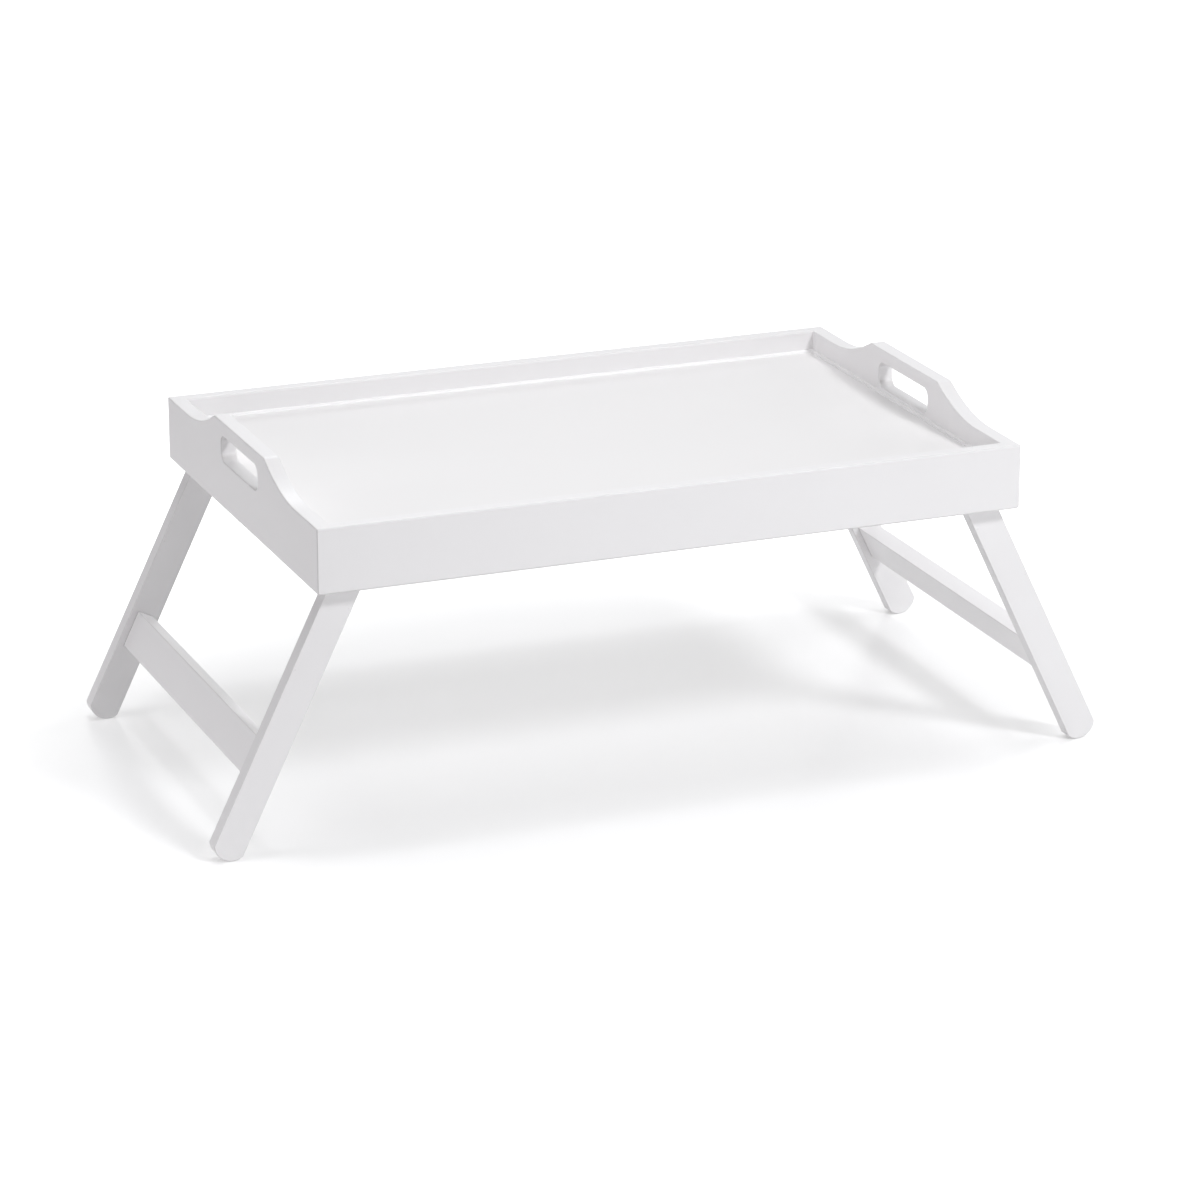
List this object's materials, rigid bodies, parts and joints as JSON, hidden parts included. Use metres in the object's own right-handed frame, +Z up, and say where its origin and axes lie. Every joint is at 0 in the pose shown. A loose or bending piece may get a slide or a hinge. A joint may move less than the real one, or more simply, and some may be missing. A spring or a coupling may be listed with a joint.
{
  "type": "bed tray table",
  "caption": "White bed tray table: a shallow rectangular tray with raised handle ends and hand holes, on two splayed leg frames that fold flat underneath.",
  "frame": {"origin": "on the ground, under the centre of the tray, with both leg frames open", "axes": "+X along the tray's long side, +Y towards the rear rail, +Z up"},
  "size_m": [0.6396, 0.325, 0.2398],
  "materials": {
    "painted_board": "satin white paint on board",
    "painted_floor": "satin white paint on thin board",
    "dowel_wood": "bare beech",
    "screw_steel": "zinc-plated",
    "spacer_nylon": "moulded nylon"
  },
  "bodies": {
    "tray": {"left_end_board": "painted_board", "right_end_board": "painted_board", "front_rail": "painted_board", "rear_rail": "painted_board", "floor_panel": "painted_floor", "left_front_corner_dowels": "dowel_wood", "left_front_pivot_screw": "screw_steel", "left_front_spacer_washer": "spacer_nylon", "left_front_head_washer": "screw_steel", "left_rear_corner_dowels": "dowel_wood", "left_rear_pivot_screw": "screw_steel", "left_rear_spacer_washer": "spacer_nylon", "left_rear_head_washer": "screw_steel", "right_front_corner_dowels": "dowel_wood", "right_front_pivot_screw": "screw_steel", "right_front_spacer_washer": "spacer_nylon", "right_front_head_washer": "screw_steel", "right_rear_corner_dowels": "dowel_wood", "right_rear_pivot_screw": "screw_steel", "right_rear_spacer_washer": "spacer_nylon", "right_rear_head_washer": "screw_steel"},
    "left_leg_frame": {"left_front_leg": "painted_board", "left_rear_leg": "painted_board", "left_stretcher": "painted_board", "left_front_stretcher_dowels": "dowel_wood", "left_rear_stretcher_dowels": "dowel_wood"},
    "right_leg_frame": {"right_front_leg": "painted_board", "right_rear_leg": "painted_board", "right_stretcher": "painted_board", "right_front_stretcher_dowels": "dowel_wood", "right_rear_stretcher_dowels": "dowel_wood"}
  },
  "joints": [
    {"name": "left_leg_fold", "type": "hinge", "parent": "tray", "child": "left_leg_frame", "pos_m": [-0.22137, 0, 0.19056], "axis": [0, -1, 0], "range_deg": [0, 115.8]},
    {"name": "right_leg_fold", "type": "hinge", "parent": "tray", "child": "right_leg_frame", "pos_m": [0.22137, 0, 0.19056], "axis": [0, 1, 0], "range_deg": [0, 115.8]}
  ]
}
